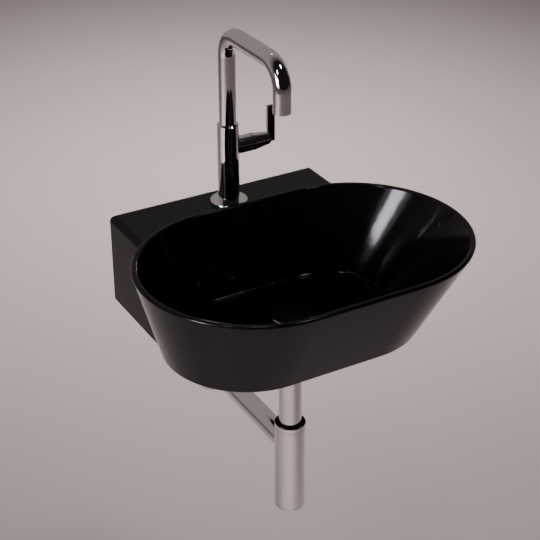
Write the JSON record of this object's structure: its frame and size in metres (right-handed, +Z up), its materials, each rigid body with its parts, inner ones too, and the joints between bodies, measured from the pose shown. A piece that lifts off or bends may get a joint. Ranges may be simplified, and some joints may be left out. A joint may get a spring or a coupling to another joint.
{
  "type": "wall-hung washbasin with tap and bottle trap",
  "caption": "Wall-hung glazed basin with tapering oval bowl, swivel-spout tap with side lever, click waste and slim bottle trap.",
  "frame": {"origin": "on the wall's face, midway between the two wall bolts that carry the basin", "axes": "+X to the right along the wall as the user faces it, +Y into the wall, +Z up; the bowl stands out on the -Y side"},
  "size_m": [0.459, 0.47, 0.6709],
  "materials": {
    "black_ceramic": "gloss glaze, fired on",
    "tap_chrome": "bright plated brass",
    "waste_chrome": "bright plated brass",
    "trap_chrome": "bright plated brass",
    "brass": "turned, unplated",
    "zinc_steel": "zinc plated",
    "black_rubber": "matt",
    "white_plastic": "moulded",
    "black_plastic": "moulded"
  },
  "bodies": {
    "basin": {"basin_body": "black_ceramic", "hanger_bolts": "zinc_steel", "bolt_washers": "zinc_steel", "bolt_nuts": "zinc_steel", "bolt_bushes": "white_plastic", "faucet_body": "tap_chrome", "faucet_gasket": "black_rubber", "faucet_flange": "tap_chrome", "mounting_stud": "zinc_steel", "horseshoe_gasket": "black_rubber", "horseshoe_plate": "zinc_steel", "mounting_nut": "brass", "spout_face_seal": "black_rubber", "spout_glide_ring": "white_plastic", "spout_collar": "tap_chrome", "cartridge_body": "white_plastic", "cartridge_nut": "brass", "cartridge_seals": "black_rubber", "drain_body": "waste_chrome", "drain_top_seal": "black_rubber", "drain_lower_seal": "black_rubber", "drain_back_nut": "brass", "click_barrel": "black_plastic", "tailpiece": "trap_chrome", "tailpiece_seal": "black_rubber", "tailpiece_nut": "trap_chrome", "trap_sleeve": "trap_chrome", "trap_collar": "trap_chrome", "trap_inlet_seal": "black_rubber", "trap_base_plug": "trap_chrome", "trap_base_seal": "black_rubber", "outlet_tube": "trap_chrome", "wall_rosette": "trap_chrome", "rosette_ring": "white_plastic"},
    "spout": {"spout": "tap_chrome", "aerator_housing": "tap_chrome", "aerator_insert": "white_plastic"},
    "lever": {"cartridge_spindle": "brass", "lever_hub": "tap_chrome", "lever_blade": "tap_chrome", "lever_screw": "zinc_steel"},
    "plug": {"plug_cap": "waste_chrome", "plug_stem": "zinc_steel", "plug_seal_ring": "black_rubber"}
  },
  "joints": [
    {"name": "spout_swivel", "type": "hinge", "parent": "basin", "child": "spout", "pos_m": [0, -0.048, 0.1575], "axis": [0, 0, 1], "range_deg": [-60, 60]},
    {"name": "lever_turn", "type": "hinge", "parent": "basin", "child": "lever", "pos_m": [0.0335, -0.048, 0.1375], "axis": [1, 0, 0], "range_deg": [0, 90]},
    {"name": "plug_click", "type": "slide", "parent": "basin", "child": "plug", "axis": [0, 0, 1], "range_m": [0, 0.008]}
  ]
}
